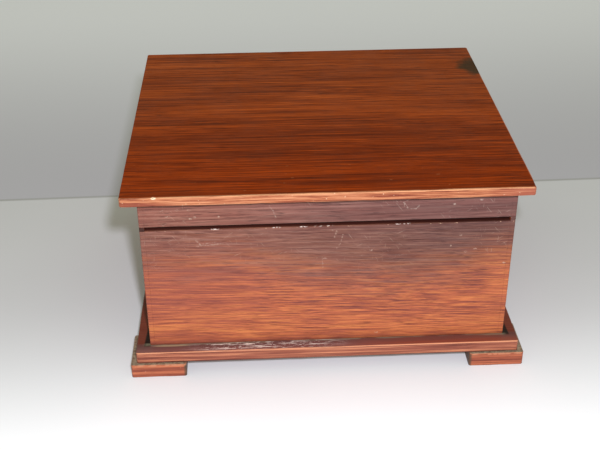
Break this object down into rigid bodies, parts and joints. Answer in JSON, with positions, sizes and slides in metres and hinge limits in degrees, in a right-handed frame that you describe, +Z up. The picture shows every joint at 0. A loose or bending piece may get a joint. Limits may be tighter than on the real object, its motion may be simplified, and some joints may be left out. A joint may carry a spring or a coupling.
{
  "type": "jack in the box",
  "caption": "Small square hardwood box on feet with an overhanging hinged lid; a sprung jester inside rises as the lid opens.",
  "frame": {"origin": "on the surface under the feet, at the middle of the footprint", "axes": "+X to the right seen from the front, +Y towards the hinges at the back, +Z up"},
  "size_m": [0.206, 0.1862, 0.1063],
  "materials": {
    "lid_wood": "oiled and rubbed, red-brown, fine straight pores",
    "rim_wood": "oiled, greyed and scuffed",
    "panel_wood": "oiled, orange-brown, worn grey at the top edge",
    "side_wood": "oiled, red-brown",
    "base_wood": "oiled, red-brown, front edge rubbed bright",
    "foot_wood": "oiled, orange-red",
    "turned_wood": "turned pale wood, waxed",
    "skin_paint": "turned wood with satin paint",
    "nose_paint": "turned wood with gloss paint",
    "brass": "dull brass",
    "steel": "plain steel",
    "spring_steel": "drawn spring wire",
    "red_cotton": "woven cotton, dark red",
    "green_felt": "wool felt, dark green",
    "cream_felt": "wool felt, cream"
  },
  "bodies": {
    "case": {"base_board": "base_wood", "front_panel": "panel_wood", "back_panel": "panel_wood", "left_panel": "side_wood", "right_panel": "side_wood", "foot_front_left": "foot_wood", "foot_front_right": "foot_wood", "foot_back_left": "foot_wood", "foot_back_right": "foot_wood", "foot_brads": "steel", "base_brads": "steel", "corner_brads": "steel", "case_hinge_leaf_left": "brass", "case_hinge_leaf_right": "brass", "hinge_pin_left": "brass", "hinge_pin_right": "brass", "case_hinge_screws": "brass", "catch_foot": "brass", "catch_screws": "brass", "spring_stand": "turned_wood", "stand_screws": "steel", "spring_staples": "steel", "sleeve_tacks": "brass", "jack_spring": "spring_steel", "costume_sleeve": "red_cotton"},
    "lid": {"lid_board": "lid_wood", "rim_front": "rim_wood", "rim_back": "rim_wood", "rim_left": "rim_wood", "rim_right": "rim_wood", "rim_brads": "steel", "lid_hinge_leaf_left": "brass", "lid_hinge_leaf_right": "brass", "lid_hinge_screws": "brass", "catch_keeper": "brass", "keeper_pins": "brass"},
    "jack": {"top_disc": "turned_wood", "disc_staples": "steel", "disc_tacks": "brass", "neck_dowel": "turned_wood", "shoulders": "red_cotton", "ruff_lower": "cream_felt", "ruff_upper": "cream_felt", "head": "skin_paint", "nose": "nose_paint", "cap": "green_felt", "cap_bells": "brass", "bell_pellets": "steel", "arm_left": "red_cotton", "arm_right": "red_cotton", "cuff_left": "cream_felt", "cuff_right": "cream_felt", "hand_left": "skin_paint", "hand_right": "skin_paint"},
    "catch": {"catch_blade": "brass"}
  },
  "joints": [
    {"name": "lid_hinge", "type": "hinge", "parent": "case", "child": "lid", "pos_m": [0, 0.0823, 0.086], "axis": [-1, 0, 0], "range_deg": [0, 105]},
    {"name": "jack_rise", "type": "slide", "parent": "case", "child": "jack", "axis": [0, 0, 1], "range_m": [0, 0.101], "deforming": ["jack_spring", "costume_sleeve"]},
    {"name": "catch_flex", "type": "hinge", "parent": "case", "child": "catch", "pos_m": [0, -0.0762, 0.064], "axis": [-1, 0, 0], "range_deg": [0, 6], "stiffness_Nm_per_rad": 0.05}
  ],
  "couplings": [
    {"joint": "jack_rise", "follows": "lid_hinge", "m_per_rad": 0.055}
  ]
}
